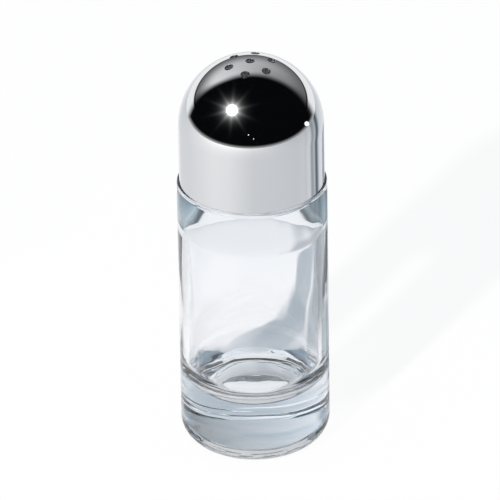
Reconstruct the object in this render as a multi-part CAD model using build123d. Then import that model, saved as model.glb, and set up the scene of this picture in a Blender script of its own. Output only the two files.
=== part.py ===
"""Pepper shaker: a thick-based clear glass jar closed by a screwed-on dome of polished steel.

The dome is a drawn and pierced steel shell with a moulded threaded liner bonded inside it. The liner screws
onto the glass neck, and a soft ring in the liner's pocket seals on the rim of the neck. The frame has +Z up
along the jar's axis, with its origin in the middle of the foot, and all sizes are in millimetres.
"""

from math import asin, cos, degrees, pi, radians, sin
import os

from build123d import *

# Jar, outside
jar_radius = 18.5
shoulder_height = 72.0  # from the table to the ledge that the cap comes down to
foot_round = 5.0  # large round between the foot and the side
shoulder_round = 0.7

# Recess under the foot, inside the narrow ring that the jar stands on
foot_width = 6.3  # from the jar's side in to the standing ring's inner edge
foot_inner_round = 0.4
recess_depth = 2.5
recess_draft = 0.6  # how far the recess's wall leans in on its way up
recess_round = 0.6

# Jar, inside
wall = 2.7
base_thickness = 14.4  # from the table to the cavity's floor
floor_round = 9.0
draw_in_drop = 1.0  # from the shoulder down to the neck's bore
draw_in_height = 11.0  # over which the cavity draws in to that bore
draw_in_round = 8.0
neck_bore_round = 2.0

# Neck
neck_height = 10.0
neck_wall = 2.8
neck_root_round = 0.5
rim_round = 0.9

# Screw thread with one right-handed start, whose flanks lean alike on the glass and in the liner
thread_pitch = 4.2
flank_slope = 0.5  # how far a flank runs along the axis for each unit of its height
thread_fade = 40.0  # degrees over which each end of a thread dies away
thread_step = 10.0  # most degrees between the sections that a thread is lofted through
thread_sink = 0.4  # how far a thread is let into the wall that carries it

jar_thread_turns = 1.25
jar_thread_height = 1.1
jar_thread_crest = 1.0
jar_thread_lift = 2.6  # from the shoulder to the middle of the thread's lower end

liner_thread_turns = 1.0
liner_thread_height = 1.0
liner_thread_crest = 0.8
liner_thread_lift = 1.1  # from the liner's lower end to the middle of the thread's lower end
crest_clearance = 0.25  # between the glass thread's crest and the liner's bore
flank_clearance = 0.2  # along the axis, between the flanks that hold the cap down

# Steel dome
cap_step = 0.6  # ledge of glass that shows outside the cap
cap_gap = 0.3  # between the steel edge and the ledge
skirt_height = 14.9
sheet = 0.6
skirt_edge_round = 0.2

# Shaking holes, square to the dome: one at the top and a ring about it
hole_radius = 1.05
hole_edge_round = 0.25
ring_holes = 6
ring_radius = 5.4
ring_start = 16.3  # degrees from +X to the first hole of the ring

# Liner
bond_line = 0.05  # adhesive between the liner and the steel
liner_wall = 2.3  # from the steel in to the liner's bore
liner_setback = 0.6  # from the steel edge up to the liner's lower end
liner_mouth_round = 0.5
web_thickness = 1.5
web_rise = 1.2  # fall of the web's top towards its bore, so that pepper runs back

# Sealing ring, and the pocket and bead that hold it in the liner
seal_thickness = 1.2
seal_setback = 0.6  # ring's inner edge, outside the neck's bore
seal_overhang = 0.9  # ring, past the outside of the neck
seal_round = 0.2
seal_clearance = 0.3  # from the ring to the pocket's wall
bead_grip = 0.25  # how far the bead reaches in under the ring
bead_thickness = 0.65
bead_drop = 0.15  # from the ring down to the bead

# Worked out from the sizes above, from the jar's side in through the cap to the neck
cap_radius = jar_radius - cap_step
cap_inner_radius = cap_radius - sheet
liner_radius = cap_inner_radius - bond_line
liner_bore_radius = liner_radius - liner_wall
liner_crest_radius = liner_bore_radius - liner_thread_height
jar_crest_radius = liner_bore_radius - crest_clearance
neck_radius = jar_crest_radius - jar_thread_height
neck_bore_radius = neck_radius - neck_wall

foot_inner_radius = jar_radius - foot_width
recess_radius = foot_inner_radius - recess_draft
cavity_radius = jar_radius - wall
draw_in_top = shoulder_height - draw_in_drop
draw_in_bottom = draw_in_top - draw_in_height
rim_height = shoulder_height + neck_height
jar_thread_start = shoulder_height + jar_thread_lift

skirt_bottom = shoulder_height + cap_gap
dome_centre = skirt_bottom + skirt_height
liner_bottom = skirt_bottom + liner_setback
liner_thread_start = liner_bottom + liner_thread_lift

seal_inner_radius = neck_bore_radius + seal_setback
seal_radius = neck_radius + seal_overhang
seal_top = rim_height + seal_thickness
web_top = seal_top + web_thickness
pocket_radius = seal_radius + seal_clearance
bead_radius = seal_radius - bead_grip
bead_top = rim_height - bead_drop
bead_bottom = bead_top - bead_thickness

# The liner's thread runs under the glass thread, this far down and so this far round
thread_overlap = jar_crest_radius - liner_crest_radius
thread_drop = (jar_thread_crest + liner_thread_crest) / 2 + flank_slope * thread_overlap + flank_clearance
liner_thread_angle = 360 * (liner_thread_start + thread_drop - jar_thread_start) / thread_pitch


def turned(corners):
    """Solid turned about Z from a closed outline, given as corners of (radius, height, round)."""
    points = [(radius, 0, height) for radius, height, _ in corners]
    rounds = [corner_round for _, _, corner_round in corners]
    outline = FilletPolyline(*points, radius=rounds, close=True)
    return revolve(make_face(outline.edges()), Axis.Z, 360)


def thread(wall_radius, crest_radius, crest_width, start_height, start_angle, turns):
    """Helical ridge that stands out of a round wall, or into its bore where the crest radius is less.

    It is lofted through sections that hold the axis, and each of its ends dies away into the wall.
    """
    height = abs(crest_radius - wall_radius)
    outward = 1 if crest_radius > wall_radius else -1
    sweep = 360 * turns
    steps = round(sweep / thread_step)
    sections = []
    for i in range(steps + 1):
        along = sweep * i / steps
        from_end = min(along, sweep - along) + thread_step
        share = sin(pi / 2 * min(1, from_end / thread_fade))
        middle = start_height + thread_pitch * along / 360
        half_crest = crest_width / 2 * share
        half_foot = half_crest + flank_slope * (height * share + thread_sink)
        foot = wall_radius - outward * thread_sink
        crest = wall_radius + outward * height * share
        profile = [
            (foot, middle - half_foot),
            (crest, middle - half_crest),
            (crest, middle + half_crest),
            (foot, middle + half_foot),
        ]
        angle = radians(start_angle + along)
        corners = [(radius * cos(angle), radius * sin(angle), z) for radius, z in profile]
        sections.append(Face(Wire.make_polygon(corners, close=True)))
    return loft(sections, ruled=True)


def half_ball(radius):
    """Upper half of a ball about the origin."""
    return Sphere(radius, arc_size1=0, align=(Align.CENTER, Align.CENTER, Align.MIN))


def glass_jar():
    """Jar with a heavy recessed base, a bowl-floored cavity that draws in at the top and a threaded neck."""
    body = turned(
        [
            (0, recess_depth, 0),
            (recess_radius, recess_depth, recess_round),
            (foot_inner_radius, 0, foot_inner_round),
            (jar_radius, 0, foot_round),
            (jar_radius, shoulder_height, shoulder_round),
            (neck_radius, shoulder_height, neck_root_round),
            (neck_radius, rim_height, rim_round),
            (neck_bore_radius, rim_height, rim_round),
            (neck_bore_radius, draw_in_top, neck_bore_round),
            (cavity_radius, draw_in_bottom, draw_in_round),
            (cavity_radius, base_thickness, floor_round),
            (0, base_thickness, 0),
        ]
    )
    return body + thread(
        neck_radius, jar_crest_radius, jar_thread_crest, jar_thread_start, 0, jar_thread_turns
    )


def dome_cap():
    """Drawn steel shell, a straight skirt under half a ball, pierced by the shaking holes."""
    skirt = turned(
        [
            (cap_inner_radius, skirt_bottom, skirt_edge_round),
            (cap_radius, skirt_bottom, skirt_edge_round),
            (cap_radius, dome_centre, 0),
            (cap_inner_radius, dome_centre, 0),
        ]
    )
    dome = half_ball(cap_radius) - half_ball(cap_inner_radius)
    cap = skirt + Pos(0, 0, dome_centre) * dome

    tilt = degrees(asin(ring_radius / cap_radius))
    spots = [(0, 0)] + [(ring_start + 360 * i / ring_holes, tilt) for i in range(ring_holes)]
    punch = Pos(0, 0, cap_radius) * Cylinder(hole_radius, 4 * sheet)
    for azimuth, lean in spots:
        cap -= Pos(0, 0, dome_centre) * Rot(0, 0, azimuth) * Rot(0, lean, 0) * punch

    middle_of_sheet = cap_radius - sheet / 2
    mouths = [
        edge
        for edge in cap.edges().filter_by(GeomType.CIRCLE)
        if abs(edge.radius - hole_radius) < sheet / 10
        and (edge.arc_center - Vector(0, 0, dome_centre)).length > middle_of_sheet
    ]
    return fillet(mouths, hole_edge_round)


def cap_liner():
    """Moulded sleeve bonded in the skirt, with the screw thread, the ring's pocket and a funnel-topped web."""
    sleeve = turned(
        [
            (liner_bore_radius, liner_bottom, liner_mouth_round),
            (liner_radius, liner_bottom, 0),
            (liner_radius, web_top + web_rise, 0),
            (neck_bore_radius, web_top, 0),
            (neck_bore_radius, seal_top, 0),
            (pocket_radius, seal_top, 0),
            (pocket_radius, bead_top, 0),
            (bead_radius, bead_top, 0),
            (bead_radius, bead_bottom, 0),
            (liner_bore_radius, bead_bottom, 0),
        ]
    )
    return sleeve + thread(
        liner_bore_radius,
        liner_crest_radius,
        liner_thread_crest,
        liner_thread_start,
        liner_thread_angle,
        liner_thread_turns,
    )


def neck_seal():
    """Soft flat ring that lies on the rim of the neck and turns freely in the liner's pocket."""
    return turned(
        [
            (seal_inner_radius, rim_height, seal_round),
            (seal_radius, rim_height, seal_round),
            (seal_radius, seal_top, seal_round),
            (seal_inner_radius, seal_top, seal_round),
        ]
    )


os.makedirs("parts", exist_ok=True)
for make in (glass_jar, dome_cap, cap_liner, neck_seal):
    export_step(make(), f"parts/{make.__name__}.step")
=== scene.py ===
"""Pepper shaker of clear glass and polished steel, dressed for its picture.

Everything stands in the frame of the CAD model: metres, +Z up along the jar's axis, the origin in the middle
of the foot. The sizes of the pieces are written in millimetres and are turned to metres where the meshes are
drawn. Each piece is an outline that is drawn in edit mode, spun about the jar's axis and finished with
modifiers: the screw threads are raised on their walls, and the shaking holes are cut with flared punches.
"""

from __future__ import annotations

import logging
import math
from collections.abc import Iterable, Sequence
from dataclasses import dataclass, field
from enum import Enum
from typing import Any

import bpy
from mathutils import Matrix, Vector

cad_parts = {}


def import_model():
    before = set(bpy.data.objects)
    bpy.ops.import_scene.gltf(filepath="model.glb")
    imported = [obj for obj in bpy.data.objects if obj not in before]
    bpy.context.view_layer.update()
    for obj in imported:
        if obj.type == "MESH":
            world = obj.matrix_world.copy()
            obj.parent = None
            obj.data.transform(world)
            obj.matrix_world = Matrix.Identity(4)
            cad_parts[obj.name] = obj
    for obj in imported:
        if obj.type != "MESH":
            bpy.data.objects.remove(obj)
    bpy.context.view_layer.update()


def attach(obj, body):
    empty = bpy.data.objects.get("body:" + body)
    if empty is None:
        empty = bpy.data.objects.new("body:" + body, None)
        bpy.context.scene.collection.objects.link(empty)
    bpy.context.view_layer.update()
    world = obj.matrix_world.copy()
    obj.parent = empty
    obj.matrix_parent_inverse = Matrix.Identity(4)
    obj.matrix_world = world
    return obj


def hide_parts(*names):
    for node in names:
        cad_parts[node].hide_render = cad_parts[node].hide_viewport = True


LOG = logging.getLogger("pepper_shaker")

MM = 0.001
FULL_TURN = 2 * math.pi

# Sizes, heights and angles that more than one class goes by, in millimetres and degrees
THREAD_PITCH = 4.2
JAR_THREAD_START = 74.6
LINER_THREAD_START = 74.0
THREAD_DROP = 1.475  # the liner's thread runs this far under the glass thread
DOME_RADIUS = 17.9
DOME_CENTRE = 87.2
VIEW_ELEVATION = 30.7
LAMP_AZIMUTH = 240.0

# Limits that tell whole counts of a ray's bounces apart
OVER_NONE = 0.5
OVER_TWO = 2.5

Colour = tuple[float, float, float]
Span = tuple[float, float]  # where a soft step starts and ends, in either order
Tones = tuple[tuple[float, float], ...]  # degrees from -180 to 180, and the tone there

WHITE: Colour = (1.0, 1.0, 1.0)


class Body(Enum):
    """Bodies of the CAD model that the pieces ride on."""

    JAR = "jar"
    SEAL = "seal"
    CAP = "cap"


class CadNode(Enum):
    """CAD nodes, each of which a finer piece stands for."""

    JAR = "glass_jar"
    DOME = "dome_cap"
    LINER = "cap_liner"
    SEAL = "neck_seal"


class Slot(Enum):
    """Material slots of the record."""

    GLASS = "clear_glass"
    STEEL = "polished_steel"
    PLASTIC = "liner_plastic"
    SILICONE = "seal_silicone"


# Shader nodes


class Wire:
    """Output socket of a node, on which sums are written as plain expressions."""

    def __init__(self, graph: Graph, socket: bpy.types.NodeSocket) -> None:
        """Wrap a socket.

        Args:
            graph: the node tree that the socket is in.
            socket: the output socket.
        """
        self.graph = graph
        self.socket = socket

    def maths(self, operation: str, *others: Wire | float) -> Wire:
        """Add a Math node whose first input is this wire.

        Args:
            operation: name of the Math node's operation.
            others: the node's other inputs.

        Returns:
            The result.
        """
        inputs = dict(enumerate((self, *others)))
        return self.graph.node("ShaderNodeMath", {"operation": operation}, inputs)

    def _behind(self, operation: str, first: float) -> Wire:
        """Add a Math node whose first input is a number and whose second input is this wire."""
        return self.graph.node("ShaderNodeMath", {"operation": operation}, {0: first, 1: self})

    def __add__(self, other: Wire | float) -> Wire:
        """Sum."""
        return self.maths("ADD", other)

    def __radd__(self, other: float) -> Wire:
        """Sum with a number in front."""
        return self._behind("ADD", other)

    def __sub__(self, other: Wire | float) -> Wire:
        """Difference."""
        return self.maths("SUBTRACT", other)

    def __rsub__(self, other: float) -> Wire:
        """Difference from a number."""
        return self._behind("SUBTRACT", other)

    def __mul__(self, other: Wire | float) -> Wire:
        """Product."""
        return self.maths("MULTIPLY", other)

    def __rmul__(self, other: float) -> Wire:
        """Product with a number in front."""
        return self._behind("MULTIPLY", other)

    def __truediv__(self, other: Wire | float) -> Wire:
        """Quotient."""
        return self.maths("DIVIDE", other)

    def __rtruediv__(self, other: float) -> Wire:
        """Quotient of a number and this wire."""
        return self._behind("DIVIDE", other)

    def __pow__(self, other: Wire | float) -> Wire:
        """Power."""
        return self.maths("POWER", other)

    def __abs__(self) -> Wire:
        """Size without sign."""
        return self.maths("ABSOLUTE")

    def most(self, other: Wire | float) -> Wire:
        """Higher of the two."""
        return self.maths("MAXIMUM", other)

    def rise(self, low: float, high: float) -> Wire:
        """Soft step.

        Args:
            low: value at and below which the step is 0.
            high: value at and above which the step is 1.

        Returns:
            The step, which runs the other way where low is over high.
        """
        settings = {"interpolation_type": "SMOOTHSTEP"}
        if low < high:
            return self.graph.node("ShaderNodeMapRange", settings, {0: self, 1: low, 2: high})
        return 1 - self.graph.node("ShaderNodeMapRange", settings, {0: self, 1: high, 2: low})


class Graph:
    """Node tree, with one method that adds every node."""

    def __init__(self, tree: bpy.types.NodeTree) -> None:
        """Take over a tree and empty it.

        Args:
            tree: the node tree of a material or of the world.
        """
        self.tree = tree
        tree.nodes.clear()

    def node(
        self,
        kind: str,
        settings: dict[str, Any] | None = None,
        inputs: dict[int | str, Any] | None = None,
        output: int | str = 0,
    ) -> Wire:
        """Add a node.

        Args:
            kind: the node's type.
            settings: its settings, by name, which are set first. "stops" gives a ramp's stops.
            inputs: values or wires for its inputs, by number or name.
            output: the output that is wanted, by number or name.

        Returns:
            That output.
        """
        added = self.tree.nodes.new(kind)
        for name, value in (settings or {}).items():
            if name == "stops":
                self._set_stops(added.color_ramp, value)
            else:
                setattr(added, name, value)
        for name, value in (inputs or {}).items():
            if isinstance(value, Wire):
                self.tree.links.new(value.socket, added.inputs[name])
            else:
                added.inputs[name].default_value = value
        if not added.outputs:
            return Wire(self, added.inputs[0])
        return Wire(self, added.outputs[output])

    @staticmethod
    def _set_stops(ramp: bpy.types.ColorRamp, stops: Sequence[tuple[float, float]]) -> None:
        """Give a ramp its stops.

        Args:
            ramp: the ramp.
            stops: places from 0 to 1 in order, each with its grey value.
        """
        ramp.elements[0].position, ramp.elements[1].position = stops[0][0], stops[-1][0]
        for place, _ in stops[1:-1]:
            ramp.elements.new(place)
        for element, (_, value) in zip(ramp.elements, stops):
            element.color = (value, value, value, 1.0)

    def mix(self, share: Wire | float, first: Colour | Wire, second: Colour | Wire) -> Wire:
        """Mix two colours.

        Args:
            share: how much of the second colour there is, from 0 to 1.
            first: colour where the share is 0.
            second: colour where the share is 1.

        Returns:
            The mixed colour.
        """
        inputs = {0: share, 6: _paint(first), 7: _paint(second)}
        return self.node("ShaderNodeMix", {"data_type": "RGBA"}, inputs, 2)

    def shuffle(self, share: Wire | float, first: Wire, second: Wire) -> Wire:
        """Mix two shaders, where the share is how much of the second there is."""
        return self.node("ShaderNodeMixShader", {}, {0: share, 1: first, 2: second})

    def split(self, vector: Wire) -> tuple[Wire, Wire, Wire]:
        """Take a vector apart into its X, Y and Z."""
        parts = self.node("ShaderNodeSeparateXYZ", {}, {0: vector}).socket.node.outputs
        return Wire(self, parts[0]), Wire(self, parts[1]), Wire(self, parts[2])

    @staticmethod
    def length(first: Wire, *others: Wire) -> Wire:
        """Length of the vector that has these parts."""
        return sum((part * part for part in others), first * first).maths("SQRT")

    def light_path(self) -> dict[str, Wire]:
        """Facts about the ray that is being traced, by name."""
        outputs = self.node("ShaderNodeLightPath").socket.node.outputs
        return {output.name: Wire(self, output) for output in outputs}

    def tone(self, turn: Wire, tones: Tones) -> Wire:
        """Read a tone from a list, with straight runs between its rows.

        Args:
            turn: the direction, from -180 to 180 degrees.
            tones: directions in order, each with its tone.

        Returns:
            The tone.
        """
        stops = [((degrees + 180) / 360, tone) for degrees, tone in tones]
        return self.node("ShaderNodeValToRGB", {"stops": stops}, {0: (turn + 180) / 360})

    def background(self, colour: Colour | Wire, strength: Wire | float = 1.0) -> Wire:
        """Light that comes from all round."""
        return self.node("ShaderNodeBackground", {}, {"Color": _paint(colour), "Strength": strength})

    def dot(self, vector: Wire, axis: Vector) -> Wire:
        """How far a vector reaches along a fixed axis."""
        settings = {"operation": "DOT_PRODUCT"}
        return self.node("ShaderNodeVectorMath", settings, {0: vector, 1: tuple(axis)}, 1)

    def place(self, scale: Sequence[float] = (1, 1, 1)) -> Wire:
        """Place on the object, in metres, each axis times its scale."""
        place = self.node("ShaderNodeTexCoord", {}, {}, "Object")
        return self.node("ShaderNodeMapping", {"vector_type": "POINT"}, {0: place, 3: tuple(scale)})

    def noise(self, place: Wire, size: float, detail: float = 2.0, rough: float = 0.5) -> Wire:
        """Cloudy pattern.

        Args:
            place: where on the object.
            size: size of the clouds, in millimetres.
            detail: how many finer layers lie over the clouds.
            rough: how strong those layers are.

        Returns:
            A value between 0 and 1.
        """
        inputs = {"Vector": place, "Scale": 1 / (size * MM), "Detail": detail, "Roughness": rough}
        return self.node("ShaderNodeTexNoise", {"noise_dimensions": "3D"}, inputs)

    def bump(self, height: Wire, depth: float, under: Wire | None = None) -> Wire:
        """Turn heights into a normal.

        Args:
            height: the heights, between 0 and 1.
            depth: how deep the pattern is, in millimetres.
            under: a normal that this one lies over.

        Returns:
            The normal.
        """
        inputs: dict[int | str, Any] = {"Strength": 1.0, "Distance": depth * MM, "Height": height}
        if under is not None:
            inputs["Normal"] = under
        return self.node("ShaderNodeBump", {}, inputs)

    def finish(self, shader: Wire, inside: Wire | None = None) -> None:
        """Join the shaders to the tree's output.

        Args:
            shader: the surface's shader.
            inside: the shader of what the surface encloses.
        """
        world = isinstance(self.tree.id_data, bpy.types.World)
        kind = "ShaderNodeOutputWorld" if world else "ShaderNodeOutputMaterial"
        inputs: dict[int | str, Any] = {"Surface": shader}
        if inside is not None:
            inputs["Volume"] = inside
        self.node(kind, {}, inputs)


def metres(span: Span) -> Span:
    """Span in metres, from one in millimetres."""
    return span[0] * MM, span[1] * MM


def _paint(colour: Colour | Wire) -> Any:
    """Colour as a node's input takes it."""
    return colour if isinstance(colour, Wire) else (*colour, 1.0)


def new_graph(name: str) -> tuple[bpy.types.Material, Graph]:
    """Make a material.

    Args:
        name: its name.

    Returns:
        The material and its empty node tree.
    """
    material = bpy.data.materials.new(name)
    material.use_nodes = True
    return material, Graph(material.node_tree)


# Finishes


@dataclass(frozen=True)
class ClearGlass:
    """Clear pressed glass, fire-polished, with the slow waviness that pressing leaves.

    Its faint blue comes from its thickness. Fine flow rings run round the heel, and the ledge under the cap
    is satin. Shadow rays pass each of its faces with a share of their light, so that the lamp reaches the
    table through the jar: most of it through the base, which gathers light as a lens does, least through the
    walls at the sides, which the light meets edge-on, and more through the middle of the walls, with a bright
    line beside the middle of the shadow. Sizes, depths and places are in millimetres.
    """

    tint: Colour = (0.985, 0.99, 0.995)
    depth_colour: Colour = (0.86, 0.93, 0.985)
    depth_density: float = 22.0
    index: float = 1.51

    base_passes: float = 0.85
    walls_pass: float = 0.55
    walls_foot: Span = (16.0, 32.0)
    sides_pass: float = 0.1
    sides_start: Span = (8.0, 15.0)
    line_pass: float = 0.97
    line_across: float = 2.6
    line_edge: Span = (3.6, 1.8)

    wave_scale: tuple[float, float, float] = (1.0, 1.0, 0.35)
    wave_size: float = 9.0
    wave_depth: float = 0.3
    ripple_size: float = 2.2
    ripple_depth: float = 0.0016

    heel_scale: tuple[float, float, float] = (0.15, 0.15, 1.0)
    heel_size: float = 0.8
    heel_contrast: Span = (0.3, 0.7)
    heel_depth: float = 0.3
    heel_top: Span = (4.8, 3.2)
    heel_inner_edge: Span = (13.6, 14.4)

    haze_size: float = 14.0
    haze_contrast: Span = (0.55, 0.9)
    haze_roughness: float = 0.012
    seat_foot: Span = (71.82, 71.98)
    seat_top: Span = (73.0, 72.6)
    seat_roughness: float = 0.3

    def _normal(self, graph: Graph) -> Wire:
        """Lay the waves, the ripples and the heel's flow rings over each other.

        Args:
            graph: the material's node tree.

        Returns:
            The normal.
        """
        along = graph.place(self.wave_scale)
        waves = graph.bump(graph.noise(along, self.wave_size, detail=1.0), self.wave_depth)
        ripples = graph.bump(graph.noise(along, self.ripple_size, detail=1.0), self.ripple_depth, waves)
        x, y, height = graph.split(graph.place())
        heel = graph.length(x, y).rise(*metres(self.heel_inner_edge)) * height.rise(*metres(self.heel_top))
        rings = graph.noise(graph.place(self.heel_scale), self.heel_size, detail=0.0)
        return graph.bump(rings.rise(*self.heel_contrast) * heel, self.heel_depth, ripples)

    def _passed(self, graph: Graph) -> Wire:
        """Find how much of the lamp's light a face lets by.

        Args:
            graph: the material's node tree.

        Returns:
            The share, from the face's height and its place across the light.
        """
        height = graph.split(graph.place())[2]
        turn = math.radians(LAMP_AZIMUTH)
        across = graph.dot(graph.place(), Vector((math.sin(turn), -math.cos(turn), 0)) / MM)
        sides = abs(across).rise(*self.sides_start)
        line = abs(across - self.line_across).rise(*self.line_edge)
        walls = self.walls_pass - sides * (self.walls_pass - self.sides_pass)
        walls = walls + line * (self.line_pass - self.walls_pass)
        return self.base_passes + height.rise(*metres(self.walls_foot)) * (walls - self.base_passes)

    def material(self) -> bpy.types.Material:
        """Make the material.

        Returns:
            The material.
        """
        material, graph = new_graph("glass, clear")
        height = graph.split(graph.place())[2]
        seat = height.rise(*metres(self.seat_foot)) * height.rise(*metres(self.seat_top))
        haze = graph.noise(graph.place(), self.haze_size, detail=3.0).rise(*self.haze_contrast)
        inputs = {
            "Base Color": (*self.tint, 1.0),
            "Roughness": haze * self.haze_roughness + seat * self.seat_roughness,
            "IOR": self.index,
            "Transmission Weight": 1.0,
            "Normal": self._normal(graph),
        }
        clear = graph.node("ShaderNodeBsdfPrincipled", {}, inputs)
        through = graph.node("ShaderNodeBsdfTransparent", {}, {"Color": _paint(WHITE)})
        passed = graph.light_path()["Is Shadow Ray"] * self._passed(graph)
        depth = {"Color": _paint(self.depth_colour), "Density": self.depth_density}
        graph.finish(
            graph.shuffle(passed, clear, through),
            graph.node("ShaderNodeVolumeAbsorption", {}, depth),
        )
        return material


@dataclass(frozen=True)
class PolishedSteel:
    """Mirror-polished sheet outside, and the drawn, unpolished sheet inside, made paler as painted light.

    Sizes, depths and radii are in millimetres.
    """

    colour: Colour = (0.79, 0.80, 0.81)
    # paler than the outside colour: painted light that brightens the inside where the holes show it
    inside_colour: Colour = (0.90, 0.90, 0.91)
    inside_roughness: float = 0.8
    sheet_middle: Span = (17.55, 17.65)
    polish: float = 0.03
    smear: float = 0.02
    smear_size: float = 11.0
    smear_contrast: Span = (0.45, 0.8)
    peel_size: float = 3.0
    peel_depth: float = 0.0006
    scratch_scale: tuple[float, float, float] = (0.05, 1.0, 1.0)
    scratch_size: float = 0.35
    scratch_depth: float = 0.00012

    def material(self) -> bpy.types.Material:
        """Make the material.

        Returns:
            The material.
        """
        material, graph = new_graph("steel, polished")
        place = graph.place()
        x, y, z = graph.split(place)
        reach = graph.length(x, y, (z - DOME_CENTRE * MM).most(0.0))
        outside = reach.rise(*metres(self.sheet_middle))
        smears = graph.noise(place, self.smear_size, detail=4.0, rough=0.6).rise(*self.smear_contrast)
        polished = self.polish + smears * self.smear
        scratches = graph.noise(graph.place(self.scratch_scale), self.scratch_size, detail=3.0)
        peel = graph.bump(graph.noise(place, self.peel_size, detail=1.0), self.peel_depth)
        inputs = {
            # the inside's paler colour is painted light
            "Base Color": graph.mix(outside, self.inside_colour, self.colour),
            "Metallic": 1.0,
            "Roughness": self.inside_roughness * (1 - outside) + polished * outside,
            "Normal": graph.bump(scratches, self.scratch_depth, peel),
        }
        graph.finish(graph.node("ShaderNodeBsdfPrincipled", {}, inputs))
        return material


@dataclass(frozen=True)
class MouldedPlastic:
    """Moulded plastic or rubber with a fine surface from its mould. Sizes and depths are in millimetres."""

    name: str
    colour: Colour
    shade: Colour
    roughness: float = 0.38
    cloud_size: float = 8.0
    grain_size: float = 0.25
    grain_depth: float = 0.003
    grain_roughness: float = 0.12
    clearness: float = 0.0
    light_depth: float = 1.5

    def material(self) -> bpy.types.Material:
        """Make the material.

        Returns:
            The material.
        """
        material, graph = new_graph(self.name)
        place = graph.place()
        clouds = graph.noise(place, self.cloud_size, detail=3.0)
        grain = graph.noise(place, self.grain_size, detail=2.0)
        inputs = {
            "Base Color": graph.mix(clouds, self.shade, self.colour),
            "Roughness": self.roughness + (grain - 0.5) * self.grain_roughness,
            "Subsurface Weight": self.clearness,
            "Subsurface Radius": (1.0, 1.0, 1.0),
            "Subsurface Scale": self.light_depth * MM,
            "Normal": graph.bump(grain, self.grain_depth),
        }
        graph.finish(graph.node("ShaderNodeBsdfPrincipled", {}, inputs))
        return material


# Turned meshes


def deselect_all() -> None:
    """Leave edit mode and let go of every object."""
    if bpy.context.object is not None and bpy.context.object.mode != "OBJECT":
        bpy.ops.object.mode_set(mode="OBJECT")
    bpy.ops.object.select_all(action="DESELECT")


def pick(piece: bpy.types.Object) -> None:
    """Select one object alone and make it the active one.

    Args:
        piece: the object.
    """
    deselect_all()
    piece.select_set(True)
    bpy.context.view_layer.objects.active = piece


def apply_modifier(piece: bpy.types.Object, kind: str, **settings: Any) -> None:
    """Add a modifier to a piece and apply it.

    Args:
        piece: the piece.
        kind: the modifier's type.
        settings: the modifier's settings, by name.
    """
    pick(piece)
    modifier = piece.modifiers.new(kind.title(), kind)
    for name, value in settings.items():
        setattr(modifier, name, value)
    bpy.ops.object.modifier_apply(modifier=modifier.name)


@dataclass(frozen=True)
class Corner:
    """Corner of an outline, in millimetres, with its round and the rows on the way to it."""

    radius: float
    height: float
    round: float = 0.0
    rows: int = 1

    @property
    def spot(self) -> Vector:
        """Place in the plane of the outline."""
        return Vector((self.radius, self.height))


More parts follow.
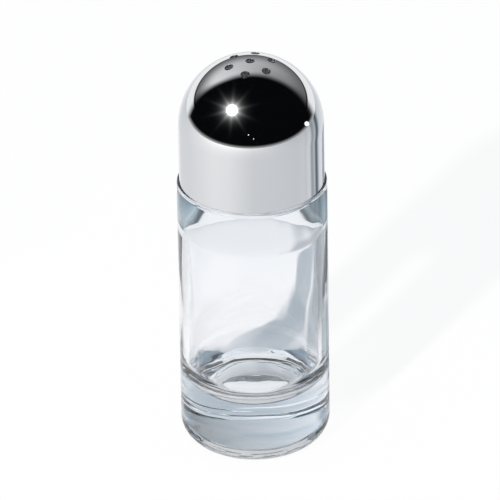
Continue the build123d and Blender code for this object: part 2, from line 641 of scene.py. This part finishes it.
class Outline:
    """Half outline in the XZ plane, drawn with a pen in edit mode and then spun about Z.

    The pen is one vertex: it is extruded along straights and spun along rounds. Each straight that meets a
    round gets a holding row close to it, so that the flat faces are shaded flat.
    """

    hold = 0.15  # how far from a round its holding row lies, in millimetres
    shortest_held = 4 * hold
    same_place = 1e-6
    arc_step = math.radians(4.5)
    least_arc_rows = 3
    merge_distance = 1e-6  # in metres

    def __init__(self, name: str, spot: Vector) -> None:
        """Put the pen down.

        Args:
            name: name of the piece.
            spot: where the outline starts, as radius and height in millimetres.
        """
        deselect_all()
        bpy.ops.mesh.primitive_plane_add(size=MM, location=(0, 0, 0))
        self.piece = bpy.context.object
        self.piece.name = self.piece.data.name = name
        bpy.ops.object.mode_set(mode="EDIT")
        bpy.ops.mesh.select_all(action="SELECT")
        bpy.ops.mesh.merge(type="CENTER")
        bpy.ops.transform.translate(value=(spot.x * MM, 0, spot.y * MM))
        self.spot = spot.copy()

    def straight(self, end: Vector, rows: int = 1) -> None:
        """Extrude the pen in a straight line.

        Args:
            end: where the line ends.
            rows: how many equal rows it has.
        """
        if (end - self.spot).length < self.same_place:
            return
        step = (end - self.spot) / rows * MM
        for _ in range(rows):
            bpy.ops.mesh.extrude_vertices_move(TRANSFORM_OT_translate={"value": (step.x, 0, step.y)})
        self.spot = end.copy()

    def held_straight(self, end: Vector, rows: int, held_start: bool, held_end: bool) -> None:
        """Draw a straight with a holding row at each end that meets a round.

        Args:
            end: where the straight ends.
            rows: how many rows its middle has.
            held_start: whether it comes out of a round.
            held_end: whether it runs into a round.
        """
        run = end - self.spot
        if run.length < self.shortest_held:
            self.straight(end)
            return
        nudge = run.normalized() * self.hold
        if held_start:
            self.straight(self.spot + nudge)
        self.straight(end - nudge if held_end else end, rows)
        self.straight(end)

    def arc(self, centre: Vector, angle: float, step: float | None = None) -> None:
        """Spin the pen about a centre.

        Args:
            centre: the centre, in millimetres.
            angle: how far, in radians, from +X towards +Z.
            step: the most that one row turns.
        """
        steps = max(self.least_arc_rows, math.ceil(abs(angle) / (step or self.arc_step)))
        bpy.ops.mesh.spin(
            steps=steps,
            angle=angle,
            center=(centre.x * MM, 0, centre.y * MM),
            axis=(0, 1, 0),
        )
        self.spot = centre + Matrix.Rotation(angle, 2) @ (self.spot - centre)

    def follow(self, corners: Sequence[Corner], first: int, last: int) -> None:
        """Draw through corners, each with its round.

        Args:
            corners: all the corners of the outline.
            first: number of the first corner to draw to.
            last: number of the last one.
        """
        rounded = corners[first - 1].round > 0 if first > 0 else False
        for number in range(first, last + 1):
            corner = corners[number]
            before = corners[number - 1].spot
            after = corners[(number + 1) % len(corners)].spot
            if corner.round <= 0:
                self.held_straight(corner.spot, corner.rows, rounded, False)
                rounded = False
                continue
            back = (before - corner.spot).normalized()
            on = (after - corner.spot).normalized()
            half = back.angle(on) / 2
            reach = corner.round / math.tan(half)
            self.held_straight(corner.spot + back * reach, corner.rows, rounded, True)
            centre = corner.spot + (back + on).normalized() * corner.round / math.sin(half)
            turn = (math.pi - 2 * half) * math.copysign(1, back.cross(on) * -1)
            self.arc(centre, turn)
            rounded = True

    def turn(self, steps: int = 256, smooth_angle: float = 35.0) -> bpy.types.Object:
        """Spin the whole outline about Z, close it and shade it.

        Args:
            steps: how many faces go round.
            smooth_angle: most degrees between faces that are shaded as one.

        Returns:
            The finished mesh object.
        """
        bpy.ops.mesh.select_all(action="SELECT")
        bpy.ops.mesh.spin(steps=steps, angle=FULL_TURN, center=(0, 0, 0), axis=(0, 0, 1))
        bpy.ops.mesh.select_all(action="SELECT")
        bpy.ops.mesh.remove_doubles(threshold=self.merge_distance)
        bpy.ops.mesh.delete_loose(use_verts=True, use_edges=True, use_faces=False)
        bpy.ops.mesh.select_all(action="SELECT")
        bpy.ops.mesh.normals_make_consistent(inside=False)
        bpy.ops.object.mode_set(mode="OBJECT")
        smooth(self.piece, smooth_angle)
        return self.piece


def smooth(piece: bpy.types.Object, degrees: float) -> None:
    """Shade a piece smooth, apart from edges sharper than an angle in degrees."""
    pick(piece)
    bpy.ops.object.shade_smooth_by_angle(angle=math.radians(degrees))


def turned(name: str, corners: Sequence[Corner], closed: bool) -> bpy.types.Object:
    """Draw an outline through corners and spin it.

    Args:
        name: name of the piece.
        corners: its corners. An open outline starts and ends on the axis.
        closed: whether the outline comes back to its start.

    Returns:
        The turned piece.
    """
    if not closed:
        outline = Outline(name, corners[0].spot)
        outline.follow(corners, 1, len(corners) - 1)
        return outline.turn()
    middle = (corners[0].spot + corners[-1].spot) / 2
    outline = Outline(name, middle)
    ring = [*corners, Corner(middle.x, middle.y)]
    outline.follow(ring, 0, len(corners))
    return outline.turn()


@dataclass(frozen=True)
class ScrewThread:
    """Helical ridge of a single-start screw thread, in millimetres and degrees."""

    start_height: float
    turns: float
    height: float
    crest: float
    start_angle: float = 0.0
    pitch: float = THREAD_PITCH
    flank_slope: float = 0.5
    fade: float = 40.0
    end_step: float = 10.0
    wall_tolerance: float = 0.01
    smooth_angle: float = 45.0

    def share(self, angle: float, z: float) -> float:
        """Find how far the ridge stands out at a place on its wall.

        Args:
            angle: angle about the axis, in degrees.
            z: height, in millimetres.

        Returns:
            The share of the ridge's height, from 0 to 1.
        """
        sweep = 360 * self.turns
        highest = 0.0
        along = (angle - self.start_angle) % 360
        while along <= sweep:
            from_end = min(along, sweep - along) + self.end_step
            share = math.sin(math.pi / 2 * min(1.0, from_end / self.fade))
            middle = self.start_height + self.pitch * along / 360
            half_crest = self.crest / 2 * share
            flank = self.flank_slope * self.height * share
            climb = min(1.0, max(0.0, (half_crest + flank - abs(z - middle)) / flank))
            highest = max(highest, share * (climb + climb * climb * (3 - 2 * climb)) / 2)
            along += 360
        return highest

    def raise_on(self, piece: bpy.types.Object, wall_radius: float) -> None:
        """Raise the ridge on a round wall of a piece, along the wall's normals.

        Args:
            piece: the piece, whose wall has rows fine enough for the ridge.
            wall_radius: radius of the wall, in millimetres.
        """
        group = piece.vertex_groups.new(name="thread")
        for vertex in piece.data.vertices:
            x, y, z = (c / MM for c in vertex.co)
            if abs(math.hypot(x, y) - wall_radius) < self.wall_tolerance:
                share = self.share(math.degrees(math.atan2(y, x)), z)
                if share > 0:
                    group.add([vertex.index], share, "REPLACE")
        apply_modifier(
            piece,
            "DISPLACE",
            vertex_group=group.name,
            direction="NORMAL",
            mid_level=0.0,
            strength=self.height * MM,
        )
        piece.vertex_groups.clear()
        smooth(piece, self.smooth_angle)


# Pieces


@dataclass
class Piece:
    """One physical piece of the shaker: what it is made of, and what it rides on."""

    name: str
    node: CadNode
    body: Body
    slot: Slot
    finish: ClearGlass | PolishedSteel | MouldedPlastic

    def shape(self) -> bpy.types.Object:
        """Model the piece; each kind of piece has its own way."""
        raise NotImplementedError

    def build(self) -> bpy.types.Object:
        """Model the piece, dress it and set it on its body.

        Returns:
            The finished piece.
        """
        piece = self.shape()
        piece.name = piece.data.name = self.name
        piece.data.materials.clear()
        piece.data.materials.append(self.finish.material())
        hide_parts(self.node.value)
        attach(piece, self.body.value)
        return piece


@dataclass
class GlassJar(Piece):
    """Jar with a heavy recessed base, a bowl-floored cavity and a threaded neck."""

    name: str = "jar_glass"
    node: CadNode = CadNode.JAR
    body: Body = Body.JAR
    slot: Slot = Slot.GLASS
    finish: ClearGlass = field(default_factory=ClearGlass)

    radius: float = 18.5
    shoulder_height: float = 72.0
    foot_round: float = 5.0
    shoulder_round: float = 0.7

    foot_inner_radius: float = 12.2
    foot_inner_round: float = 0.4
    recess_radius: float = 11.6
    recess_depth: float = 2.5
    recess_round: float = 0.6

    cavity_radius: float = 15.8
    base_thickness: float = 14.4
    floor_round: float = 9.0
    draw_in_top: float = 71.0
    draw_in_bottom: float = 60.0
    draw_in_round: float = 8.0

    neck_radius: float = 13.6
    neck_bore_radius: float = 10.8
    neck_bore_round: float = 2.0
    neck_root_round: float = 0.5
    rim_height: float = 82.0
    rim_round: float = 0.9
    neck_rows: int = 86

    thread: ScrewThread = ScrewThread(start_height=JAR_THREAD_START, turns=1.25, height=1.1, crest=1.0)

    def shape(self) -> bpy.types.Object:
        """Turn the jar's whole skin and raise its thread.

        Returns:
            The jar.
        """
        corners = [
            Corner(0, self.recess_depth),
            Corner(self.recess_radius, self.recess_depth, self.recess_round),
            Corner(self.foot_inner_radius, 0, self.foot_inner_round),
            Corner(self.radius, 0, self.foot_round),
            Corner(self.radius, self.shoulder_height, self.shoulder_round),
            Corner(self.neck_radius, self.shoulder_height, self.neck_root_round),
            Corner(self.neck_radius, self.rim_height, self.rim_round, self.neck_rows),
            Corner(self.neck_bore_radius, self.rim_height, self.rim_round),
            Corner(self.neck_bore_radius, self.draw_in_top, self.neck_bore_round),
            Corner(self.cavity_radius, self.draw_in_bottom, self.draw_in_round),
            Corner(self.cavity_radius, self.base_thickness, self.floor_round),
            Corner(0, self.base_thickness),
        ]
        piece = turned(self.name, corners, closed=False)
        self.thread.raise_on(piece, self.neck_radius)
        return piece


@dataclass(frozen=True)
class Punch:
    """Punch that cuts one shaking hole and rolls its mouth over, in millimetres."""

    radius: float = 1.05
    mouth_round: float = 0.25
    mouth_angle: float = math.radians(76)
    mouth_step: float = math.radians(9)
    mouth_run: float = 0.25
    reach: float = 1.2
    steps: int = 64
    smooth_angle: float = 30.0

    def shape(self, surface: float) -> bpy.types.Object:
        """Turn the punch about Z, with its flare at a given height.

        Args:
            surface: height of the sheet's outer face, in millimetres.

        Returns:
            The punch.
        """
        low, high = surface - 2 * self.reach, surface + self.reach
        outline = Outline("punch", Vector((0, low)))
        outline.straight(Vector((self.radius, low)))
        outline.straight(Vector((self.radius, surface - self.mouth_round)))
        centre = Vector((self.radius + self.mouth_round, surface - self.mouth_round))
        outline.arc(centre, -self.mouth_angle, self.mouth_step)
        slant = Vector((math.sin(self.mouth_angle), math.cos(self.mouth_angle)))
        outline.straight(outline.spot + slant * self.mouth_run)
        outline.straight(Vector((outline.spot.x, high)))
        outline.straight(Vector((0, high)))
        return outline.turn(self.steps, self.smooth_angle)


@dataclass
class DomeCap(Piece):
    """Drawn steel shell, a straight skirt under half a ball, with its shaking holes."""

    name: str = "cap_dome"
    node: CadNode = CadNode.DOME
    body: Body = Body.CAP
    slot: Slot = Slot.STEEL
    finish: PolishedSteel = field(default_factory=PolishedSteel)

    radius: float = DOME_RADIUS
    inner_radius: float = 17.3
    skirt_bottom: float = 72.3
    skirt_rows: int = 6
    dome_centre: float = DOME_CENTRE
    edge_round: float = 0.2
    outer_step: float = math.radians(90 / 96)
    inner_step: float = math.radians(90 / 48)
    face_depth: float = 0.004
    smooth_angle: float = 30.0

    punch: Punch = Punch()
    ring_holes: int = 6
    ring_radius: float = 5.4
    ring_start: float = 16.3

    def _shell(self, name: str) -> bpy.types.Object:
        """Turn the shell before it is pierced.

        Args:
            name: name of the object.

        Returns:
            The whole shell.
        """
        low, high = self.skirt_bottom, self.dome_centre
        outline = Outline(name, Vector((0, high + self.inner_radius)))
        outline.arc(Vector((0, high)), -math.pi / 2, self.inner_step)
        corners = [
            Corner(self.inner_radius, high),
            Corner(self.inner_radius, low, self.edge_round),
            Corner(self.radius, low, self.edge_round),
            Corner(self.radius, high),
        ]
        outline.straight(Vector((self.inner_radius, high - outline.hold)))
        outline.follow(corners, 1, 2)
        outline.straight(Vector((self.radius, low + self.edge_round + outline.hold)))
        outline.straight(Vector((self.radius, high - outline.hold)), self.skirt_rows)
        outline.straight(Vector((self.radius, high)))
        outline.arc(Vector((0, high)), math.pi / 2, self.outer_step)
        return outline.turn()

    def _punches(self) -> bpy.types.Object:
        """Model the punch once, copy it, lean each copy square to the dome and join them all.

        Returns:
            The joined punches.
        """
        first = self.punch.shape(self.radius)
        tilt = Matrix.Rotation(math.asin(self.ring_radius / self.radius), 4, "Y")
        turns = [self.ring_start + 360 * i / self.ring_holes for i in range(self.ring_holes)]
        leans = [Matrix.Rotation(math.radians(turn), 4, "Z") @ tilt for turn in turns]
        lift = Matrix.Translation((0, 0, self.dome_centre * MM))
        copies = []
        for lean in leans:
            copy = first.copy()
            copy.data = first.data.copy()
            bpy.context.collection.objects.link(copy)
            copy.data.transform(lift @ lean)
            copies.append(copy)
        first.data.transform(lift)
        pick(first)
        for copy in copies:
            copy.select_set(True)
        bpy.ops.object.join()
        return first

    def shape(self) -> bpy.types.Object:
        """Turn the shell, pierce it and give the dome's face back its even shading.

        Returns:
            The pierced shell.
        """
        piece = self._shell(self.name)
        whole = self._shell("dome_unpierced")
        punches = self._punches()
        apply_modifier(piece, "BOOLEAN", object=punches, operation="DIFFERENCE", solver="EXACT")
        bpy.data.objects.remove(punches)
        smooth(piece, self.smooth_angle)
        group = piece.vertex_groups.new(name="face")
        for vertex in piece.data.vertices:
            x, y, z = (c / MM for c in vertex.co)
            if math.hypot(x, y, max(0.0, z - self.dome_centre)) > self.radius - self.face_depth:
                group.add([vertex.index], 1.0, "REPLACE")
        apply_modifier(
            piece,
            "DATA_TRANSFER",
            object=whole,
            vertex_group=group.name,
            use_loop_data=True,
            data_types_loops={"CUSTOM_NORMAL"},
            loop_mapping="POLYINTERP_NEAREST",
        )
        piece.vertex_groups.clear()
        bpy.data.objects.remove(whole)
        return piece


@dataclass
class CapLiner(Piece):
    """Moulded sleeve in the skirt, with the cap's thread, the ring's pocket and a funnel-topped web."""

    name: str = "cap_liner_sleeve"
    node: CadNode = CadNode.LINER
    body: Body = Body.CAP
    slot: Slot = Slot.PLASTIC
    finish: MouldedPlastic = MouldedPlastic(
        "plastic, natural white", (0.86, 0.87, 0.86), (0.80, 0.81, 0.80), clearness=0.15
    )

    radius: float = 17.25
    bore_radius: float = 14.95
    bottom: float = 72.9
    mouth_round: float = 0.5
    mouth_rise: float = 1.0
    edge_round: float = 0.15
    web_bore_radius: float = 10.8
    web_top: float = 84.7
    web_rise: float = 1.2
    pocket_radius: float = 14.8
    pocket_top: float = 83.2
    bead_radius: float = 14.25
    bead_top: float = 81.85
    bead_bottom: float = 81.2
    bore_rows: int = 78

    thread: ScrewThread = ScrewThread(
        start_height=LINER_THREAD_START,
        turns=1.0,
        height=1.0,
        crest=0.8,
        start_angle=360 * (LINER_THREAD_START + THREAD_DROP - JAR_THREAD_START) / THREAD_PITCH,
    )

    def shape(self) -> bpy.types.Object:
        """Turn the sleeve and raise its thread in its bore.

        Returns:
            The sleeve.
        """
        edge = self.edge_round
        corners = [
            Corner(self.bore_radius, self.bottom, self.mouth_round),
            Corner(self.radius, self.bottom, edge),
            Corner(self.radius, self.web_top + self.web_rise, edge),
            Corner(self.web_bore_radius, self.web_top, edge),
            Corner(self.web_bore_radius, self.pocket_top, edge),
            Corner(self.pocket_radius, self.pocket_top, edge),
            Corner(self.pocket_radius, self.bead_top, edge),
            Corner(self.bead_radius, self.bead_top, edge),
            Corner(self.bead_radius, self.bead_bottom, edge),
            Corner(self.bore_radius, self.bead_bottom, edge),
            Corner(self.bore_radius, self.bottom + self.mouth_rise, 0, self.bore_rows),
        ]
        piece = turned(self.name, corners, closed=True)
        self.thread.raise_on(piece, self.bore_radius)
        return piece


@dataclass
class NeckSeal(Piece):
    """Soft flat ring on the rim of the neck."""

    name: str = "seal_ring"
    node: CadNode = CadNode.SEAL
    body: Body = Body.SEAL
    slot: Slot = Slot.SILICONE
    finish: MouldedPlastic = MouldedPlastic(
        "silicone, milky", (0.80, 0.81, 0.80), (0.74, 0.75, 0.74), roughness=0.5, clearness=0.3
    )

    inner_radius: float = 11.4
    outer_radius: float = 14.5
    bottom: float = 82.0
    top: float = 83.2
    edge_round: float = 0.2

    def shape(self) -> bpy.types.Object:
        """Turn the ring.

        Returns:
            The ring.
        """
        edge = self.edge_round
        corners = [
            Corner(self.inner_radius, self.bottom, edge),
            Corner(self.outer_radius, self.bottom, edge),
            Corner(self.outer_radius, self.top, edge),
            Corner(self.inner_radius, self.top, edge),
        ]
        return turned(self.name, corners, closed=True)


# Studio


def direction(azimuth: float, elevation: float) -> Vector:
    """Unit vector.

    Args:
        azimuth: degrees from +X towards +Y.
        elevation: degrees above the table.

    Returns:
        The vector that points there.
    """
    turn, climb = math.radians(azimuth), math.radians(elevation)
    return Vector((math.cos(climb) * math.cos(turn), math.cos(climb) * math.sin(turn), math.sin(climb)))


@dataclass(frozen=True)
class Glare:
    """Bright spot in the room, laid out as the dome shows it from the front, in millimetres on the dome."""

    across: float
    up: float
    core: float
    glow: float = 0.0
    beams: float = 0.0
    beam_count: int = 10
    beam_lean: float = 60.0
    beam_width: float = 0.35
    beam_spread: float = 0.055
    beam_softness: float = 0.3
    beam_fall: float = 1.1
    glow_fall: float = 0.6
    core_light: float = 2.0
    core_edge: Span = (1.2, 0.8)

    def light(self, graph: Graph, way: Wire) -> Wire:
        """Find the spot's brightness in a direction.

        Args:
            graph: the world's node tree.
            way: the direction.

        Returns:
            The brightness.
        """
        front = direction(-90.0, VIEW_ELEVATION)
        upward = direction(90.0, 90.0 - VIEW_ELEVATION)
        halfway = graph.node("ShaderNodeVectorMath", {"operation": "ADD"}, {0: way, 1: tuple(front)})
        facing = graph.node("ShaderNodeVectorMath", {"operation": "NORMALIZE"}, {0: halfway})
        dx = graph.dot(facing, Vector((1, 0, 0))) * DOME_RADIUS - self.across
        dy = graph.dot(facing, upward) * DOME_RADIUS - self.up
        off = graph.length(dx, dy)
        light = off.rise(*(self.core * share for share in self.core_edge)) * self.core_light
        if self.beams > 0:
            lean = math.radians(self.beam_lean)
            lobes = abs((dy.maths("ARCTAN2", dx) * (self.beam_count / 2) - lean).maths("COSINE"))
            sharpness = off * off * (self.beam_spread / self.beam_width**2) + self.beam_softness
            past = (off - self.core).most(0.0)
            light = light + lobes**sharpness * (past / -self.beam_fall).maths("EXPONENT") * self.beams
            light = light + (past / -self.glow_fall).maths("EXPONENT") * self.glow
        return light


@dataclass
class Studio:
    """White table under one small lamp in a dark room with a pale backdrop behind.

    The table's colour is painted darker by direction, in degrees from +X towards +Y, as painted shade. Out of
    the picture glass and steel alike show the table's tones: a painted falloff of the lamp's light, dimmer to
    the front, and dark streaks to the right-back. Glass alone shows the near and the far tones, which darken
    the table in and beyond the shaker's shadow, and a painted pool of light: a share of glowing white under
    the base, where the base gathers the lamp's light. The table's sizes are in metres. The room's are in
    degrees: climbs from the table's level, and turns to the right from straight behind the shaker.
    """

    table_radius: float = 0.64
    table_sides: int = 96
    table_colour: Colour = (0.86, 0.86, 0.865)
    # colour that the table's painted shade goes towards
    painted_shade_colour: Colour = (0.0, 0.045, 0.085)
    table_seen: float = 0.9
    grain_size: float = 90.0
    grain_lift: float = 1.02
    # painted pool of light: a share of glowing white under the base, where the base gathers the lamp's light
    painted_caustic: float = 0.8
    painted_caustic_edge: Span = (0.01375, 0.01125)

    # near tones: painted shade that glass alone shows, darkest across the right half of the shaker's shadow
    # and beyond it
    near_start: Span = (0.055, 0.072)
    near_tones: Tones = (
        (-180.0, 0.95),
        (-20.0, 0.8),
        (20.0, 0.3),
        (37.0, 0.33),
        (43.0, 0.42),
        (55.0, 0.5),
        (58.5, 1.0),
        (122.5, 1.0),
        (127.5, 0.68),
        (132.0, 0.72),
        (140.0, 0.82),
        (152.0, 0.93),
        (180.0, 0.95),
    )
    # far tones: painted shade that glass alone shows, darker between 25 and 81 degrees farther out
    far_start: Span = (0.1, 0.12)
    far_tones: Tones = (
        (-180.0, 1.0),
        (15.0, 1.0),
        (25.0, 0.45),
        (81.0, 0.5),
        (85.0, 1.0),
        (180.0, 1.0),
    )
    # table's tones: painted shade for glass and steel, dimmer to the front as painted falloff of the lamp's
    # light, with dark streaks to the right-back
    table_start: Span = (0.1, 0.125)
    table_tones: Tones = (
        (-180.0, 0.80),
        (-169.0, 0.81),
        (-150.0, 0.84),
        (-126.0, 0.80),
        (-101.0, 0.70),
        (-88.0, 0.65),
        (-20.0, 0.68),
        (-3.0, 0.72),
        (-0.5, 0.65),
        (2.0, 0.73),
        (6.0, 0.77),
        (10.0, 0.78),
        (13.5, 0.40),
        (17.5, 0.40),
        (21.5, 0.64),
        (25.5, 0.22),
        (28.5, 0.08),
        (31.5, 0.26),
        (37.0, 0.80),
        (46.0, 0.90),
        (70.0, 0.98),
        (110.0, 1.0),
        (131.0, 0.80),
        (158.0, 0.78),
        (180.0, 0.80),
    )
    soft_light: Colour = (0.46, 0.53, 0.59)

    lamp_elevation: float = 33.0
    lamp_distance: float = 2.0
    lamp_size: float = 0.1
    lamp_power: float = 51.0
    lamp_colour: Colour = (1.0, 0.9, 0.83)
    lamp_target: float = 0.05

    sweep_colour: Colour = (0.98, 0.99, 1.0)
    sweep_top: Span = (6.5, 4.5)
    sweep_sides: Span = (68.0, 52.0)
    apron_top: Span = (-3.0, -10.0)
    apron_share: float = 0.6

    backdrop_tint: Colour = (0.97, 0.98, 1.0)
    backdrop_foot: float = 0.17
    backdrop_climb: Span = (8.0, 36.0)
    backdrop_middle: float = 0.56
    backdrop_fall: float = 0.0055  # in tone, for each degree to the right
    backdrop_least: float = 0.1
    backdrop_left: Span = (-66.0, -48.0)
    backdrop_right: Span = (74.0, 50.0)
    backdrop_top: Span = (19.0, 34.0)
    gap_foot: Span = (4.0, 6.0)
    gap_top: Span = (9.5, 7.5)
    gap_depth: float = 0.8
    foot_tint: Colour = (0.68, 1.06, 1.3)
    foot_tint_top: Span = (38.0, 10.0)

    room: Colour = (0.002, 0.0026, 0.003)
    room_in_glass: Colour = (0.22, 0.28, 0.33)
    glare_colour: Colour = (1.0, 0.99, 0.97)
    glares: tuple[Glare, ...] = (
        Glare(across=-4.58, up=3.46, core=1.32, glow=0.8, beams=0.25),
        Glare(across=13.58, up=0.05, core=0.52),
        Glare(across=-0.68, up=-2.63, core=0.12),
        Glare(across=0.54, up=-3.6, core=0.1),
    )

    def build(self) -> None:
        """Set up the table, the room and the lamp."""
        self._table()
        self._room()
        self._lamp()

    def _table(self) -> None:
        """Make the table top, which keeps the shaker's shadow."""
        deselect_all()
        bpy.ops.mesh.primitive_circle_add(
            vertices=self.table_sides, radius=self.table_radius, fill_type="NGON", location=(0, 0, 0)
        )
        table = bpy.context.object
        table.name = "table_top"
        table.data.materials.append(self._table_material())

    def _painted_shade(self, graph: Graph, bent: Wire) -> Wire:
        """Find how far the table's colour goes towards its painted shade.

        Args:
            graph: the table's node tree.
            bent: whether glass shows the table.

        Returns:
            The share, from 0 to 1.
        """
        x, y, _ = graph.split(graph.place())
        reach = graph.length(x, y)
        turn = y.maths("ARCTAN2", x).maths("DEGREES")
        beyond = reach.rise(*self.table_start)
        near = reach.rise(*self.near_start) * (1 - beyond) * (1 - graph.tone(turn, self.near_tones)) * bent
        far = reach.rise(*self.far_start) * (1 - graph.tone(turn, self.far_tones)) * bent
        return (near + beyond * (1 - graph.tone(turn, self.table_tones))).most(far)

    def _table_material(self) -> bpy.types.Material:
        """Make the table's matt white, most of which the camera sees as plain white, with its painted shade
        and light.

        Returns:
            The material.
        """
        material, graph = new_graph("table, matt white")
        ray = graph.light_path()
        place = graph.place()
        x, y, _ = graph.split(place)
        pale = tuple(min(1.0, self.grain_lift * part) for part in self.table_colour)
        colour = graph.mix(graph.noise(place, self.grain_size, detail=3.0), self.table_colour, pale)
        # painted shade: the table darkened by direction, more of it where glass shows the table
        colour = graph.mix(self._painted_shade(graph, ray["Is Transmission Ray"]), colour, self.painted_shade_colour)
        matt = graph.node("ShaderNodeBsdfDiffuse", {}, {"Color": colour})
        white = graph.node("ShaderNodeEmission", {}, {"Color": _paint(WHITE), "Strength": 1.0})
        deep = ray["Transmission Depth"].maths("GREATER_THAN", OVER_TWO)
        clean = ray["Diffuse Depth"].maths("LESS_THAN", OVER_NONE)
        # painted pool of light: glowing white under the base, for rays that come through the glass
        under = deep * graph.length(x, y).rise(*self.painted_caustic_edge) * clean
        seen = ray["Is Camera Ray"] * self.table_seen + under * self.painted_caustic
        graph.finish(graph.shuffle(seen, matt, white))
        return material

    def _shown(self, graph: Graph, way: Wire, bent: Wire) -> Wire:
        """Colour of the room in a direction, as glass and steel show it.

        The white sweep behind the table ends a little above the horizon. A grey backdrop stands over it and
        leans forwards, brighter on the left than on the right, with a darker gap at its foot. A dimmer apron
        of the sweep's white lies below the table's level, and everything else is dark.

        Args:
            graph: the world's node tree.
            way: the direction.
            bent: whether glass shows it, to which the dark of the room is only dim.

        Returns:
            The colour.
        """
        x, y, z = graph.split(way)
        turn = x.maths("ARCTAN2", y).maths("DEGREES")
        climb = z.maths("ARCSINE").maths("DEGREES")
        from_top = (90 - climb) * turn.maths("RADIANS").maths("COSINE")
        level = (self.backdrop_middle - turn * self.backdrop_fall).most(self.backdrop_least)
        grey = self.backdrop_foot + (level - self.backdrop_foot) * climb.rise(*self.backdrop_climb)
        gap = climb.rise(*self.gap_foot) * climb.rise(*self.gap_top)
        grey = grey * (1 - gap * self.gap_depth)
        panel = turn.rise(*self.backdrop_left) * turn.rise(*self.backdrop_right)
        panel = panel * from_top.rise(*self.backdrop_top)
        lit = graph.mix(climb.rise(*self.foot_tint_top) * bent, self.backdrop_tint, self.foot_tint)
        lit = graph.node("ShaderNodeVectorMath", {"operation": "SCALE"}, {0: lit, "Scale": grey})
        room = graph.mix(panel, graph.mix(bent, self.room, self.room_in_glass), lit)
        sweep = climb.rise(*self.sweep_top) * abs(turn).rise(*self.sweep_sides)
        apron = climb.rise(*self.apron_top) * self.apron_share
        return graph.mix(sweep.most(apron), room, self.sweep_colour)

    def _room(self) -> None:
        """Make the world: white to the camera, soft light on matt surfaces, the room in glass and steel."""
        world = bpy.data.worlds.new("studio")
        bpy.context.scene.world = world
        world.use_nodes = True
        graph = Graph(world.node_tree)
        way = graph.node("ShaderNodeTexCoord", {}, {}, "Generated")
        ray = graph.light_path()
        glossy, bent = ray["Is Glossy Ray"], ray["Is Transmission Ray"]
        clean = ray["Diffuse Depth"].maths("LESS_THAN", OVER_NONE)
        early = ray["Ray Depth"].maths("LESS_THAN", OVER_TWO)
        lights = [glare.light(graph, way) for glare in self.glares]
        glint = graph.background(self.glare_colour, sum(lights[1:], lights[0]) * (early * glossy * clean))
        plain = graph.background(self._shown(graph, way, bent))
        mirrored = graph.node("ShaderNodeAddShader", {}, {0: plain, 1: glint})
        lit = graph.shuffle(glossy.most(bent) * clean, graph.background(self.soft_light), mirrored)
        graph.finish(graph.shuffle(ray["Is Camera Ray"], lit, graph.background(WHITE)))

    def _lamp(self) -> None:
        """Hang the lamp, which steel shows as the glare in the room instead."""
        way = direction(LAMP_AZIMUTH, self.lamp_elevation)
        light = bpy.data.lights.new("lamp", "AREA")
        light.shape = "DISK"
        light.size = self.lamp_size
        light.energy = self.lamp_power
        light.color = self.lamp_colour
        lamp = bpy.data.objects.new("lamp", light)
        bpy.context.collection.objects.link(lamp)
        lamp.location = way * self.lamp_distance + Vector((0, 0, self.lamp_target))
        lamp.rotation_euler = way.to_track_quat("Z", "Y").to_euler()
        lamp.visible_glossy = False
        lamp.visible_transmission = False


@dataclass
class Viewpoint:
    """Camera at the photograph's place: a long lens that looks down at the shaker.

    The view is shifted to the right and up, in pixels of the photograph. The rest is in metres, degrees and,
    for the lens and the sensor, millimetres.
    """

    elevation: float = VIEW_ELEVATION
    distance: float = 2.05
    farthest: float = 10.0
    aim_height: float = 0.0506
    roll: float = -0.87
    lens: float = 598.7
    sensor: float = 36.0
    photo_width: float = 500.0
    shift_right: float = -3.04
    shift_up: float = 3.45

    def build(self) -> None:
        """Make the camera and use it."""
        data = bpy.data.cameras.new("camera")
        data.lens, data.sensor_width, data.clip_end = self.lens, self.sensor, self.farthest
        data.shift_x = self.shift_right / self.photo_width
        data.shift_y = self.shift_up / self.photo_width
        camera = bpy.data.objects.new("camera", data)
        bpy.context.collection.objects.link(camera)
        camera.location = direction(-90.0, self.elevation) * self.distance + Vector((0, 0, self.aim_height))
        down = Matrix.Rotation(math.radians(90 - self.elevation), 4, "X")
        camera.rotation_euler = (down @ Matrix.Rotation(math.radians(self.roll), 4, "Z")).to_euler()
        bpy.context.scene.camera = camera


def main() -> None:
    """Load the frame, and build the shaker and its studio."""
    logging.basicConfig(level=logging.INFO, format="%(name)s: %(message)s")
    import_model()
    for part in (GlassJar(), DomeCap(), CapLiner(), NeckSeal()):
        piece = part.build()
        triangles = sum(len(face.vertices) - 2 for face in piece.data.polygons)
        LOG.info("%s: %d triangles, on body %s", part.name, triangles, part.body.value)
    Studio().build()
    Viewpoint().build()
    bpy.context.scene.view_settings.view_transform = "Standard"
    LOG.info("sizes written")


if __name__ == "__main__":
    main()
